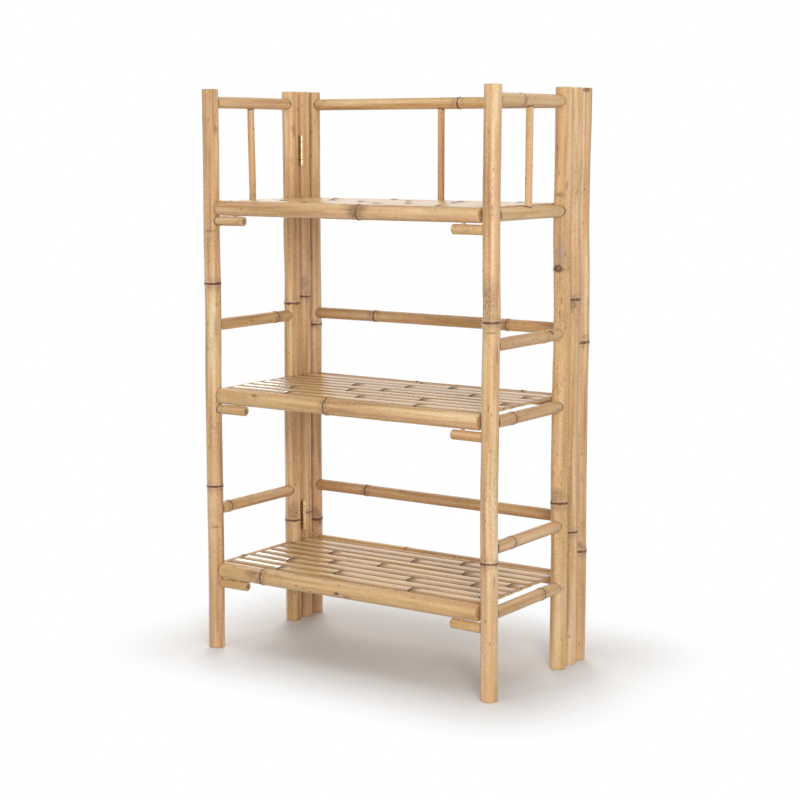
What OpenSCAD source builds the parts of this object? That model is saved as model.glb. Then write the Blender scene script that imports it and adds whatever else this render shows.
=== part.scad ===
// Folding shelving unit of round bamboo poles, with three shelves that swing up
// between two hinged side frames.
// Millimetres. +Z is up, the front faces -Y, and the origin lies on the floor
// under the middle of the unit.

/* [Overall] */
// Height of the posts
unit_h = 1200; // [1120:5:1400]
// Distance from the left posts to the right posts, axis to axis
post_span = 694; // [600:2:860]
// Distance from the front post to the rear post of a side frame, axis to axis
side_depth = 274; // [256:1:290]
// Distance from a rear post to the spacer post behind it, axis to axis
hinge_pitch = 42; // [41:0.5:46]
// Distance from a spacer post to the back post behind it, axis to axis
spacer_pitch = 40; // [39.5:0.5:46]

/* [Levels] */
// Height of the lower shelf's beam and rails
lower_shelf_z = 173; // [160:1:188]
// Height of the lower middle rails
lower_middle_z = 303.5; // [294:0.5:330]
// Height of the middle shelf's beam and rails
middle_shelf_z = 552.5; // [545:0.5:565]
// Height of the upper middle rails
upper_middle_z = 702.5; // [640:0.5:740]
// Height of the upper shelf's beam and rails
upper_shelf_z = 952; // [940:1:970]
// Depth of the top rails' axis below the tops of the posts
top_rail_drop = 28; // [22:1:50]

/* [Poles] */
// Diameter of the posts
post_d = 35; // [33:0.5:36.5]
// Wall of the hollow posts
post_wall = 7; // [6:0.5:9]
// Diameter of the rails
rail_d = 25.2; // [20:0.2:26]
// Diameter of the thin upright spindles
spindle_d = 15; // [10:0.5:18]
// How far a culm swells at a node
node_swell = 1; // [0.4:0.1:1.2]
// Eased edge at a sawn pole end
edge_ease = 0.8; // [0.4:0.1:1.5]

/* [Joints between poles] */
// Depth of the drilled sockets in the posts
socket_depth = 16; // [12:0.5:17]
// Depth of the drilled sockets in the rails
spindle_socket = 8; // [4:0.5:9]
// Clearance round a pole end in its socket
socket_fit = 0.15; // [0.05:0.05:0.3]
// Clearance at the bottom of a socket
end_fit = 0.3; // [0.1:0.1:1]
// Diameter of the dowels that tie the spacer posts to the back posts
tie_dowel_d = 10; // [6:0.5:12]
// Depth that a tie dowel reaches into each post
tie_dowel_reach = 12; // [8:0.5:14]

/* [Shelves] */
// Diameter of the lower shelf's front beam
lower_beam_d = 34.6; // [30:0.2:36]
// Diameter of the middle shelf's front beam
middle_beam_d = 34.4; // [30:0.2:36]
// Diameter of the upper shelf's front beam
upper_beam_d = 31.2; // [28:0.2:36]
// How much thinner a beam is at its right end
beam_taper = 1.2; // [0:0.2:2]
// Gap between a beam's end and the post beside it
beam_end_gap = 3; // [2.6:0.1:6]
// Wall of a beam at its hollow ends
beam_wall = 6.5; // [5:0.5:9]
// Depth of the hollow at a beam's end
beam_hollow = 30; // [10:1:32]
// Diameter of the rod at the back of a shelf
rod_d = 24; // [20:0.5:26]
// Depth of the top of the rod below the crowns of the slats
rod_drop = 2; // [0:0.5:4]
// Gap between the rod's shoulder and the spacer post beside it
rod_end_gap = 1.6; // [1:0.1:3]
// Number of slats of one shelf
slat_count = 8; // [8:1:10]
// Gap between neighbouring slats
slat_gap = 0.8; // [0.4:0.1:2]
// Diameter of the large culm that the slats are split from
slat_culm_d = 200; // [190:1:210]
// Wall of the culm that the slats are split from
slat_wall = 5.5; // [5.4:0.1:5.8]
// Height of a slat from its rims to its crown
slat_h = 6.2; // [6:0.1:6.3]
// Gap between a slat's end and the face of the posts beside it
slat_end_gap = 8; // [4:0.5:20]
// Diameter of the bearers under the slats
bearer_d = 18; // [14:0.5:19]
// Distance from the middle of the shelf to an outer bearer
bearer_reach = 226; // [150:1:240]

/* [Shelf pivots] */
// Diameter of the pins turned on the ends of the rod
pivot_d = 14; // [10:0.5:16]
// Length of a pivot pin inside its spacer post
pivot_reach = 14; // [8:0.5:15]
// Running clearance round a pivot pin
pivot_fit = 0.06; // [0.03:0.01:0.1]

/* [Shelf pegs] */
// Diameter of the pegs under the beam ends
peg_d = 20; // [16:0.5:22]
// Distance from the front post's axis to the free end of a peg
peg_reach = 88; // [80:1:120]
// Gap between a peg and the beam above it
peg_gap = 2.5; // [1.5:0.1:5]
// Diameter of the locating dowel that stands on a peg
dowel_d = 8; // [5:0.5:10]
// Distance from the front post's axis to the dowel
dowel_x = 64; // [62:0.5:70]
// Depth of the dowel's hole in the beam
dowel_hole = 8; // [5:0.5:10]
// Play round the dowel in its hole
dowel_play = 1.1; // [1:0.1:1.5]

/* [Hinges] */
// Height of the lower hinges
lower_hinge_z = 242; // [228:1:250]
// Height of the upper hinges
upper_hinge_z = 1070; // [1000:1:1085]
// Length of a hinge
hinge_len = 65; // [50:1:66]
// Length of each outer knuckle of a hinge
end_knuckle = 13; // [12:0.5:20]
// Distance of the hinge pins inward from the posts' axes
pin_inset = 15; // [14:0.5:17]
// Diameter of the knuckles
knuckle_d = 8; // [7.6:0.1:8.6]
// Diameter of the hinge pins
hinge_pin_d = 3; // [2.4:0.1:3.6]
// Running clearance round a hinge pin
hinge_fit = 0.06; // [0.03:0.01:0.1]
// Thickness of the hinge leaves
leaf_t = 1.6; // [1.2:0.1:2]
// Width of a leaf from the pin's axis
leaf_w = 21; // [20:0.5:24]
// Gap between neighbouring knuckles
knuckle_gap = 0.3; // [0.2:0.05:0.6]
// Diameter of the screws
screw_d = 3; // [2.5:0.1:3.5]
// Length of the screws
screw_len = 10; // [7:0.5:11]
// Distance between the screws of one leaf
screw_pitch = 22; // [16:0.5:22]

/* [Hidden] */
SIDES = ["left", "right"];
LEVELS = ["lower_shelf", "lower_middle", "middle_shelf", "upper_middle", "upper_shelf", "top"];
SHELVES = ["lower", "middle", "upper"];
$fn = 48;

BAMBOO = "#d9b47c";
BAMBOO_PALE = "#e2c596";
BAMBOO_DARK = "#c79c63";
BRASS = "#c8a24c";
STEEL = "#b9b7ae";

// Rows of poles, from the front to the back
post_x = post_span / 2;
front_y = -(side_depth + hinge_pitch + spacer_pitch) / 2;
rear_y = front_y + side_depth;
spacer_y = rear_y + hinge_pitch;
back_y = spacer_y + spacer_pitch;
pin_y = rear_y + hinge_pitch / 2;
pin_x = post_x - pin_inset;
bore_d = post_d - 2 * post_wall;

// Levels, the heights of the tie dowels, and the nodes that each culm shows, along it from
// its lower or front end, or from the middle of the unit on what lies across
level_z = [lower_shelf_z, lower_middle_z, middle_shelf_z, upper_middle_z, upper_shelf_z,
    unit_h - top_rail_drop];
shelf_z = [lower_shelf_z, middle_shelf_z, upper_shelf_z];
beam_d = [lower_beam_d, middle_beam_d, upper_beam_d];
hinge_z = [lower_hinge_z, upper_hinge_z];
tie_z = [70, 422, 830, unit_h - 85];
front_nodes = [[356, 792], [277, 748]];
rear_nodes = [[234, 730], [352, 835]];
spacer_nodes = [[246, 743], [284, 770]];
back_nodes = [[223, 676], [236, 678]];
side_rail_nodes = [[[90], [40], [], [210], [120], []],
    [[195], [75], [75], [198], [], [100]]];
back_rail_nodes = [[-90], [-197], [-60, 210], [-171, 173], [140], [48]];
beam_nodes = [[-212], [-44], [39]];
rod_nodes = [[110], [-20], [95]];
slat_nodes = [
    [[-196, 141], [-69, 291], [-224, 91], [-135, 226], [-32, 290], [-189, 158], [6], [108]],
    [[-170, 155], [-12], [-212, 120], [-87, 292], [-27], [-125, 173], [-12, 278], [75]],
    [[-120, 205], [30], [-235, 84], [-60, 255], [-160, 148], [12], [-205, 118], [-75, 240]]];
node_rise = 9;
node_fall = 7;

// Lengths between the sockets
back_rail_len = post_span - post_d + 2 * (socket_depth - end_fit);
side_rail_len = side_depth - post_d + 2 * (socket_depth - end_fit);
spindle_len = unit_h - top_rail_drop - upper_shelf_z - rail_d + 2 * (spindle_socket - end_fit);
beam_len = post_span - post_d - 2 * beam_end_gap;
slat_len = post_span - post_d - 2 * slat_end_gap;
rod_len = post_span - post_d - 2 * rod_end_gap;
shelf_depth = side_depth + hinge_pitch;
screw_head_d = 2 * screw_d;
screw_head_h = screw_d / 2;

function sign_of(side) = side == "left" ? -1 : 1;
function index_of(side) = side == "left" ? 0 : 1;
// Top of a shelf's slats, its rod's axis and the plane that its slats rest on
function crown_z(i) = shelf_z[i] + beam_d[i] / 2;
function rod_z(i) = crown_z(i) - rod_drop - rod_d / 2;
function deck_z(i) = crown_z(i) - slat_h;
function peg_z(i) = shelf_z[i] - beam_d[i] / 2 - peg_gap - peg_d / 2;
function slat_room(i) = shelf_depth - beam_d[i] / 2 - rod_d / 2;
function slat_pitch(i) = slat_room(i) / slat_count;
// Where each of the three knuckles of a hinge starts, and where the last one ends
knuckle_ends = [0, end_knuckle, hinge_len - end_knuckle, hinge_len];
function node_ring(z, r) = [
    [r, z - node_rise], [r + 0.7 * node_swell, z - 2.6], [r + node_swell, z - 1],
    [r + 0.3 * node_swell, z], [r + node_swell, z + 1], [r, z + node_fall]];

// A culm that stands on its end, with a swelling and a scar at each node
module culm(len, d, nodes = [], taper = 0) {
    function radius(z) = d / 2 - taper * (z / len - 0.5) / 2;
    kept = [for (n = nodes) if (n > 2 * node_rise && n < len - 2 * node_rise) n];
    rotate_extrude()
        polygon(concat(
            [[0, 0], [radius(0) - edge_ease, 0], [radius(0), edge_ease]],
            [for (n = kept) each node_ring(n, radius(n))],
            [[radius(len), len - edge_ease], [radius(len) - edge_ease, len], [0, len]]));
}

// A hollow post, before its sockets are drilled
module post(nodes) {
    difference() {
        culm(unit_h, post_d, nodes);
        translate([0, 0, -1]) cylinder(h = unit_h + 2, d = bore_d);
    }
}

// A socket drilled into a post's wall, towards the direction given by turn
module post_socket(turn, d) {
    rotate([0, 0, turn]) translate([post_d / 2 - socket_depth, 0, 0]) rotate([0, 90, 0])
        cylinder(h = socket_depth + 5, d = d + 2 * socket_fit);
}

// Flat seats and screw holes for the hinge leaves, on the side of a post that turn gives
module hinge_seats(turn) {
    seat = hinge_pitch / 2 - knuckle_d / 2;
    for (z = hinge_z) rotate([0, 0, turn]) {
        translate([seat, -post_d, z - hinge_len / 2 - 0.5])
            cube([post_d, 2 * post_d, hinge_len + 1]);
        for (k = [-1:1]) translate([seat - screw_len, 0, z + k * screw_pitch])
            rotate([0, 90, 0]) cylinder(h = screw_len + 1, d = screw_d + 0.1);
    }
}

module back_post(side) {
    color(BAMBOO_DARK) translate([sign_of(side) * post_x, back_y, 0]) difference() {
        post(back_nodes[index_of(side)]);
        for (z = level_z) translate([0, 0, z]) post_socket(side == "left" ? 0 : 180, rail_d);
        for (z = tie_z) translate([0, 0, z]) tie_hole(-90);
    }
}

module spacer_post(side) {
    color(BAMBOO_DARK) translate([sign_of(side) * post_x, spacer_y, 0]) difference() {
        post(spacer_nodes[index_of(side)]);
        for (i = [0:2]) translate([0, 0, rod_z(i)]) rotate([0, sign_of(side) * -90, 0])
            cylinder(h = post_d, d = pivot_d + 2 * pivot_fit);
        for (z = tie_z) translate([0, 0, z]) tie_hole(90);
        hinge_seats(-90);
    }
}

module tie_hole(turn) {
    rotate([0, 0, turn]) translate([post_d / 2 - tie_dowel_reach - end_fit, 0, 0])
        rotate([0, 90, 0]) cylinder(h = tie_dowel_reach + 5, d = tie_dowel_d + 2 * socket_fit);
}

module front_post(side) {
    color(BAMBOO) translate([sign_of(side) * post_x, front_y, 0]) difference() {
        post(front_nodes[index_of(side)]);
        for (z = level_z) translate([0, 0, z]) post_socket(90, rail_d);
        for (i = [0:2]) translate([0, 0, peg_z(i)]) post_socket(side == "left" ? 0 : 180, peg_d);
    }
}

module rear_post(side) {
    color(BAMBOO) translate([sign_of(side) * post_x, rear_y, 0]) difference() {
        post(rear_nodes[index_of(side)]);
        for (z = level_z) translate([0, 0, z]) post_socket(-90, rail_d);
        hinge_seats(90);
    }
}

// A blind hole in a rail for a spindle's end, above or below the rail's axis
module spindle_hole(up) {
    translate([0, 0, up * (rail_d / 2 - spindle_socket)]) rotate([up > 0 ? 0 : 180, 0, 0])
        cylinder(h = spindle_socket + 3, d = spindle_d + 2 * socket_fit);
}

module back_rail(l) {
    color(BAMBOO_DARK) translate([0, back_y, level_z[l]]) difference() {
        translate([-back_rail_len / 2, 0, 0]) rotate([0, 90, 0])
            culm(back_rail_len, rail_d, [for (n = back_rail_nodes[l]) n + back_rail_len / 2]);
        if (l == 4) spindle_hole(1);
        if (l == 5) spindle_hole(-1);
    }
}

module side_rail(side, l) {
    color(BAMBOO) translate([sign_of(side) * post_x, (front_y + rear_y) / 2, level_z[l]])
        difference() {
            translate([0, -side_rail_len / 2, 0]) rotate([-90, 0, 0])
                culm(side_rail_len, rail_d, side_rail_nodes[index_of(side)][l]);
            if (l == 4) spindle_hole(1);
            if (l == 5) spindle_hole(-1);
        }
}

module spindle(x, y) {
    color(BAMBOO) translate([x, y, upper_shelf_z + rail_d / 2 - spindle_socket + end_fit])
        culm(spindle_len, spindle_d);
}

module spacer_dowels() {
    reach = tie_dowel_reach - post_d / 2;
    color(BAMBOO_PALE) for (s = [-1, 1]) for (z = tie_z)
        translate([s * post_x, spacer_y - reach, z]) rotate([-90, 0, 0])
            cylinder(h = spacer_pitch + 2 * reach, d = tie_dowel_d);
}

// One leaf with its knuckles. The pin's axis is the Z axis, the leaf reaches along +X,
// and its outer face looks along -Y.
module hinge_leaf(own) {
    others = [for (k = [0:2]) if (len(search(k, own)) == 0) k];
    translate([0, 0, -hinge_len / 2]) difference() {
        union() {
            translate([0, 0.05 - knuckle_d / 2, knuckle_gap / 2])
                cube([leaf_w, leaf_t, hinge_len - knuckle_gap]);
            for (k = own) translate([0, 0, knuckle_ends[k] + knuckle_gap / 2])
                cylinder(h = knuckle_ends[k + 1] - knuckle_ends[k] - knuckle_gap, d = knuckle_d);
        }
        for (k = others) translate([0, 0, knuckle_ends[k] - knuckle_gap / 2])
            cylinder(h = knuckle_ends[k + 1] - knuckle_ends[k] + knuckle_gap,
                d = knuckle_d + 3 * knuckle_gap);
        translate([0, 0, -1]) cylinder(h = hinge_len + 2, d = hinge_pin_d + 2 * hinge_fit);
        for (k = [-1:1]) translate([pin_inset, 0, hinge_len / 2 + k * screw_pitch])
            screw_cut();
    }
}

// The hole of a countersunk screw in a leaf
module screw_cut() {
    translate([0, 0.05 - knuckle_d / 2 + leaf_t, 0]) rotate([90, 0, 0]) {
        cylinder(h = screw_head_h + 0.1, d1 = screw_head_d + 0.3, d2 = screw_d + 0.3);
        translate([0, 0, -1]) cylinder(h = 1, d = screw_head_d + 0.3);
        cylinder(h = leaf_t + 2, d = screw_d + 0.3);
    }
}

module screw() {
    difference() {
        rotate_extrude()
            polygon([[0, 0], [screw_head_d / 2, 0], [screw_d / 2, screw_head_h],
                [screw_d / 2, screw_len - 2], [0, screw_len - 0.2]]);
        translate([-screw_head_d, -0.4, -1]) cube([2 * screw_head_d, 0.8, 1.7]);
    }
}

// Places a leaf or its screws at each hinge of one side. The moving leaf lies in front.
module at_hinges(side, moving) {
    for (z = hinge_z) translate([sign_of(side) * pin_x, pin_y, z])
        mirror([side == "left" ? 1 : 0, 0, 0]) mirror([0, moving ? 0 : 1, 0]) children();
}

module leaf_screws(side, moving) {
    color(STEEL) at_hinges(side, moving) for (k = [-1:1])
        translate([pin_inset, 0.05 - knuckle_d / 2 + leaf_t, k * screw_pitch])
            rotate([90, 0, 0]) screw();
}

module fixed_hinge_leaves(side) {
    color(BRASS) at_hinges(side, false) hinge_leaf([0, 2]);
}

module moving_hinge_leaves(side) {
    color(BRASS) at_hinges(side, true) hinge_leaf([1]);
}

// Hinge pins with a flat head at each end
module hinge_pins() {
    head_h = 1.2;
    head_d = hinge_pin_d + 2;
    color(BRASS) for (s = [-1, 1]) for (z = hinge_z)
        translate([s * pin_x, pin_y, z - hinge_len / 2]) {
            translate([0, 0, -head_h]) cylinder(h = hinge_len + 2 * head_h, d = hinge_pin_d);
            translate([0, 0, knuckle_gap / 2 - 0.05 - head_h]) cylinder(h = head_h, d = head_d);
            translate([0, 0, hinge_len - knuckle_gap / 2 + 0.05]) cylinder(h = head_h, d = head_d);
        }
}

module shelf_peg(i, side) {
    in_post = post_d / 2 - socket_depth + end_fit;
    color(BAMBOO) translate([sign_of(side) * (post_x - in_post), front_y, peg_z(i)])
        difference() {
            rotate([0, -90 * sign_of(side), 0]) culm(peg_reach - in_post, peg_d);
            translate([-sign_of(side) * (dowel_x - in_post), 0, -dowel_d / 2])
                cylinder(h = peg_d, d = dowel_d + 0.1);
        }
}

// Dowels that stand in the pegs and lock the front beams against a sideways shift
module peg_dowels(side) {
    color(BAMBOO_PALE) for (i = [0:2]) {
        foot = peg_z(i) - dowel_d / 2 + 0.2;
        tip = shelf_z[i] - beam_d[i] / 2 + dowel_hole - end_fit;
        translate([sign_of(side) * (post_x - dowel_x), front_y, foot]) rotate_extrude()
            polygon([[0, 0], [dowel_d / 2, 0], [dowel_d / 2, tip - foot - 1],
                [dowel_d / 2 - 1, tip - foot], [0, tip - foot]]);
    }
}

module front_beam(i) {
    hollow_d = beam_d[i] - 2 * beam_wall;
    color(BAMBOO) translate([0, front_y, shelf_z[i]]) difference() {
        translate([-beam_len / 2, 0, 0]) rotate([0, 90, 0])
            culm(beam_len, beam_d[i], [for (n = beam_nodes[i]) n + beam_len / 2], beam_taper);
        for (s = [-1, 1]) {
            translate([s * (beam_len / 2 - beam_hollow), 0, 0]) rotate([0, s * 90, 0])
                cylinder(h = beam_hollow + 1, d = hollow_d);
            translate([s * (post_x - dowel_x), 0, -beam_d[i] / 2 - 2])
                cylinder(h = dowel_hole + 2, d = dowel_d + 2 * dowel_play);
        }
        for (x = bearer_places()) translate([x, beam_d[i] / 2 - socket_depth + 4, bearer_z(i)])
            rotate([-90, 0, 0]) cylinder(h = socket_depth, d = bearer_d + 2 * socket_fit);
    }
}

function bearer_places() = [-bearer_reach, 0, bearer_reach];
// Height of the bearers' axis above the beam's axis
function bearer_z(i) = deck_z(i) - shelf_z[i] - bearer_d / 2 - 0.1;

module pivot_rod(i) {
    full = rod_len + 2 * (rod_end_gap + pivot_reach);
    color(BAMBOO) translate([0, spacer_y, rod_z(i)]) union() {
        translate([-rod_len / 2, 0, 0]) rotate([0, 90, 0])
            culm(rod_len, rod_d, [for (n = rod_nodes[i]) n + rod_len / 2]);
        translate([-full / 2, 0, 0]) rotate([0, 90, 0]) cylinder(h = full, d = pivot_d);
    }
}

// Bearers socketed into the beam and coped under the rod
module bearers(i) {
    start = front_y + beam_d[i] / 2 - socket_depth + 4 + end_fit;
    color(BAMBOO_DARK) for (x = bearer_places()) difference() {
        translate([x, start, shelf_z[i] + bearer_z(i)]) rotate([-90, 0, 0])
            cylinder(h = spacer_y - start, d = bearer_d);
        translate([x - bearer_d, spacer_y, rod_z(i)]) rotate([0, 90, 0])
            cylinder(h = 2 * bearer_d, d = rod_d + 2 * socket_fit);
    }
}

// A slat split from a culm. Its rims rest on the plane z = 0 and it lies along X.
module slat(width, nodes) {
    rise = slat_h - slat_culm_d / 2;
    intersection() {
        translate([-slat_len / 2, 0, rise]) rotate([0, 90, 0]) difference() {
            culm(slat_len, slat_culm_d, [for (n = nodes) n + slat_len / 2]);
            translate([0, 0, -1]) cylinder(h = slat_len + 2, d = slat_culm_d - 2 * slat_wall);
        }
        translate([-slat_len, -width / 2, 0]) cube([2 * slat_len, width, 2 * slat_h]);
    }
}

module slats(i) {
    first = front_y + beam_d[i] / 2 + slat_pitch(i) / 2;
    color(BAMBOO_PALE) for (k = [0:slat_count - 1])
        translate([0, first + k * slat_pitch(i), deck_z(i)])
            slat(slat_pitch(i) - slat_gap, slat_nodes[i][k % len(slat_nodes[i])]);
}

for (s = SIDES) {
    back_post(s);
    spacer_post(s);
    front_post(s);
    rear_post(s);
    spindle(sign_of(s) * post_x, (front_y + rear_y) / 2);
    peg_dowels(s);
    fixed_hinge_leaves(s);
    moving_hinge_leaves(s);
    leaf_screws(s, true);
    for (l = [0:len(LEVELS) - 1])
        side_rail(s, l);
    for (i = [0:2])
        shelf_peg(i, s);
}
for (l = [0:len(LEVELS) - 1])
    back_rail(l);
spindle(0, back_y);  // back_spindle
spacer_dowels();
hinge_pins();
for (s = SIDES) leaf_screws(s, false);  // fixed_leaf_screws
for (i = [0:2]) {
    front_beam(i);
    pivot_rod(i);
    bearers(i);
    slats(i);
}
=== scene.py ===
"""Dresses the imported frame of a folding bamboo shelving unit: camera, light, materials, meshes."""
import math
import random

import bpy
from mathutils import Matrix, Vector, noise


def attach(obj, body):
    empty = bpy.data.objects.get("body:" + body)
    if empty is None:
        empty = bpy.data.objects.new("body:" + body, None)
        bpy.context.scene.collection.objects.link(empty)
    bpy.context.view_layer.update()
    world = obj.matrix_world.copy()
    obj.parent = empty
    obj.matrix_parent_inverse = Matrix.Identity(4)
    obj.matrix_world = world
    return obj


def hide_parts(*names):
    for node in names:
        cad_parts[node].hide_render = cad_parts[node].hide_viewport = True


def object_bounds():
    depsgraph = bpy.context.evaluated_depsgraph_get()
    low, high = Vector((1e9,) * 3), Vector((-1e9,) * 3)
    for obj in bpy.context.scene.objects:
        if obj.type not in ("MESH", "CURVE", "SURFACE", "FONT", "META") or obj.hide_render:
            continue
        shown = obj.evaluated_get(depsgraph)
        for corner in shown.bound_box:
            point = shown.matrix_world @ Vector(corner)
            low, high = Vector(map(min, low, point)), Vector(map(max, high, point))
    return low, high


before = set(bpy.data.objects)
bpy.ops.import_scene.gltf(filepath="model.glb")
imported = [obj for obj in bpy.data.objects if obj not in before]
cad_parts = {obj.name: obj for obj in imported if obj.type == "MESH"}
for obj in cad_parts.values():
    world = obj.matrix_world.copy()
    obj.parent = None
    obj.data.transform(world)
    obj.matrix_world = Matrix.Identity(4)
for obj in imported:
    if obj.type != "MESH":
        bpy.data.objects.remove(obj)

cad_box = [list(corner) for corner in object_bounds()]
MM = 0.001
FAR = 50.0               # a distance in millimetres that no mark reaches
EDGE_ROOM = 0.05         # how far inside the CAD box every point stays, in millimetres
LOW, HIGH = ([c / MM + s for c in corner] for corner, s in zip(cad_box, (EDGE_ROOM, -EDGE_ROOM)))

# Sizes in millimetres, as in the part's source
UNIT_H, POST_X, POST_R, BORE_R = 1200.0, 347.0, 17.5, 10.5
FRONT_Y, REAR_Y, SPACER_Y, BACK_Y = -178.0, 96.0, 138.0, 178.0
LEVELS = {"lower_shelf": 173.0, "lower_middle": 303.5, "middle_shelf": 552.5,
          "upper_middle": 702.5, "upper_shelf": 952.0, "top": 1172.0}
RAIL_D, SPINDLE_D = 25.2, 15.0
RAIL_IN_POST, SPINDLE_IN_RAIL, BEARER_IN_BEAM = 15.7, 7.7, 11.7
SHELVES = ("lower", "middle", "upper")
BEAM_D = (34.6, 34.4, 31.2)
BEAM_TAPER, BEAM_GAP, BEAM_WALL = 1.2, 3.0, 6.5
ROD_D, ROD_DROP, ROD_GAP, PIVOT_D, PIVOT_REACH = 24.0, 2.0, 1.6, 14.0, 14.0
SLAT_COUNT, SLAT_GAP, SLAT_WALL, SLAT_H, SLAT_END = 8, 0.8, 5.5, 6.2, 8.0
BEARER_D, BEARER_DROP, BEARER_X, COPE_FIT = 18.0, 0.1, (-226.0, 0.0, 226.0), 0.15
PEG_D, PEG_REACH, PEG_GAP = 20.0, 88.0, 2.5
HINGE_Z, SEAT_LEN, SEAT_OUT = (242.0, 1070.0), 66.0, 17.0
KNUCKLE_HALF = 19.5      # half the length of a hinge's middle knuckle

# Sizes in millimetres that only the dressed pieces have
SWELL, SLAT_SWELL, SLAT_R, SLAT_SHOULDER = 1.3, 1.0, 60.0, 2.0
BEAM_SHORT, BEAM_HOLLOW, SPINDLE_LEAN = 3.5, 1.2, 1.6
PEG_BEND, PEG_RISE, LOWEST_PEG_RISE = (40.0, 1.0), 1.2, 0.8

# Nodes of each culm, from its lower or front end, or from the middle across
FRONT_NODES = {"left": (356, 792), "right": (277, 748)}
REAR_NODES = {"left": (234, 730), "right": (352, 835)}
SPACER_NODES = {"left": (246, 743), "right": (284, 770)}
BACK_NODES = {"left": (223, 676), "right": (236, 678)}
SIDE_RAIL_NODES = {"left": ((90,), (40,), (), (210,), (120,), ()),
                   "right": ((195,), (75,), (75,), (198,), (), (100,))}
BACK_RAIL_NODES = ((-90,), (-197,), (-60, 210), (-171, 173), (140,), (48,))
BEAM_NODES = ((-212,), (-44,), (39,))
ROD_NODES = ((110,), (-20,), (95,))
SLAT_NODES = (
    ((-196, 141), (-69, 291), (-224, 91), (-135, 226), (-32, 290), (-189, 158), (6,), (108,)),
    ((-170, 155), (-12,), (-212, 120), (-87, 292), (-27,), (-125, 173), (-12, 278), (75,)),
    ((-120, 205), (30,), (-235, 84), (-60, 255), (-160, 148), (12,), (-205, 118), (-75, 240)))

# How heavy a node's scar is, where it isn't drawn at random
HEFTS = {"front_post_left": {356: 1.2, 792: 1.5}, "front_post_right": {277: 1.2, 748: 1.4},
         "rear_post_left": {234: 1.5, 730: 1.5}, "rear_post_right": {352: 1.5, 835: 0.12},
         "spacer_post_left": {743: 1.3}, "spacer_post_right": {284: 1.3, 770: 1.5},
         "back_post_left": {223: 1.6, 676: 1.3}, "back_post_right": {236: 1.5, 678: 1.7},
         "upper_front_beam": {366: 1.7}, "lower_front_beam": {114: 1.2},
         "middle_front_beam": {282: 1.1}, "back_rail_top": {393: 1.5},
         "back_rail_upper_middle": {174: 1.7}, "back_rail_lower_middle": {148: 1.3},
         "right_rail_upper_middle": {198: 0.2}}

# Tint of each stretch between nodes, from pinkish 0 to yellow 1, where it isn't drawn at random
TINTS = {"rear_post_right": (0.8, 0.9, 0.7), "front_post_right": (0.2, 0.5, 0.6),
         "front_post_left": (0.5, 0.6, 0.45), "rear_post_left": (0.5, 0.7, 0.5),
         "spacer_post_left": (0.15, 0.3, 0.2), "back_post_left": (0.1, 0.15, 0.2),
         "spacer_post_right": (0.5, 0.35, 0.4), "back_post_right": (0.6, 0.5, 0.6),
         "upper_front_beam": (0.5, 0.3), "middle_front_beam": (0.9, 0.7),
         "lower_front_beam": (0.6, 0.8), "upper_peg_left": (0.7,), "upper_peg_right": (0.8,),
         "middle_peg_left": (0.6,), "middle_peg_right": (0.8,), "lower_peg_left": (0.7,),
         "lower_peg_right": (0.85,), "right_rail_upper_shelf": (0.9, 0.8)}

# How far the posts wander sideways at these heights, as grown poles do
POST_BENDS = {
    "front_post_right": ((0, 0), (170, -0.7), (400, -2.8), (520, -1.7), (650, -1.5), (765, 0.4),
                         (830, -1.2), (925, -1.9), (1010, -1.8), (1075, -0.8), (1200, 0.3)),
    "front_post_left": ((0, -0.4), (200, 0.9), (400, -0.3), (560, -0.8), (740, 1.0), (920, -0.5),
                        (1070, 0.7), (1200, -0.2)),
    "rear_post_left": ((0, 0), (230, -0.8), (320, -0.2), (470, -0.8), (650, 0.4), (780, 2.3),
                       (890, -0.2), (1040, 0.1), (1200, -0.7)),
    "rear_post_right": ((0, 0), (240, 0.5), (420, -1.6), (560, -1.2), (720, 0.6), (920, -2.4),
                        (1080, -0.5), (1200, 0.2)),
    "spacer_post_left": ((0, 0), (240, -0.4), (450, -0.6), (740, 1.6), (930, -0.4), (1200, 0)),
    "spacer_post_right": ((0, 0), (280, 0.5), (480, -1.2), (770, 0.7), (930, -2.0), (1200, 0)),
    "back_post_left": ((0, 0), (220, 0.6), (430, -0.5), (676, 1.4), (930, -0.4), (1200, 0)),
    "back_post_right": ((0, -0.4), (170, 0.5), (410, -1.2), (580, -1.2), (690, 0.7), (800, 0.3),
                        (930, -2.8), (1040, -2.0), (1160, -0.2), (1200, 0)),
}

# Camera, world and floor
LENS, SHIFT_UP = 82.35, -0.035
CAMERA_AT, CAMERA_DOWN, CAMERA_TURN = (2.16597, -3.1606, 1.10002), 0.12766, 0.59784
WORLD_LIGHT = 0.47
UNIT_MIDDLE = (0.0, 0.0, 0.6)
FLOOR_HALF, FLOOR_DROP, FLOOR_LIFT = 12.0, 0.0004, 0.005
FLOOR_SHADE, FLOOR_ROUGH, FLOOR_SHINE = (227, 224, 221), 0.7, 0.2
FOOTPRINT, FOOT_MIDDLE = (0.34, 0.18, 1.0), (0.0, 0.04, 0.0)
FADE_FROM, FADE_TO = -0.03, 0.31
WHITE = (1.0, 1.0, 1.0, 1.0)

camera = bpy.data.objects.new("camera", bpy.data.cameras.new("camera"))
bpy.context.collection.objects.link(camera)
bpy.context.scene.camera = camera
camera.data.sensor_width = 36.0
camera.data.lens = LENS
camera.data.shift_y = SHIFT_UP
camera.location = CAMERA_AT
camera.rotation_euler = (math.pi / 2 - CAMERA_DOWN, 0.0, CAMERA_TURN)
bpy.context.scene.view_settings.view_transform = "Standard"


def linear(r, g, b):
    """A colour from 0-255 screen values to the linear values that shaders take."""
    return tuple((c / 255 / 12.92) if c <= 10 else ((c / 255 + 0.055) / 1.055) ** 2.4
                 for c in (r, g, b)) + (1.0,)


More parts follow.
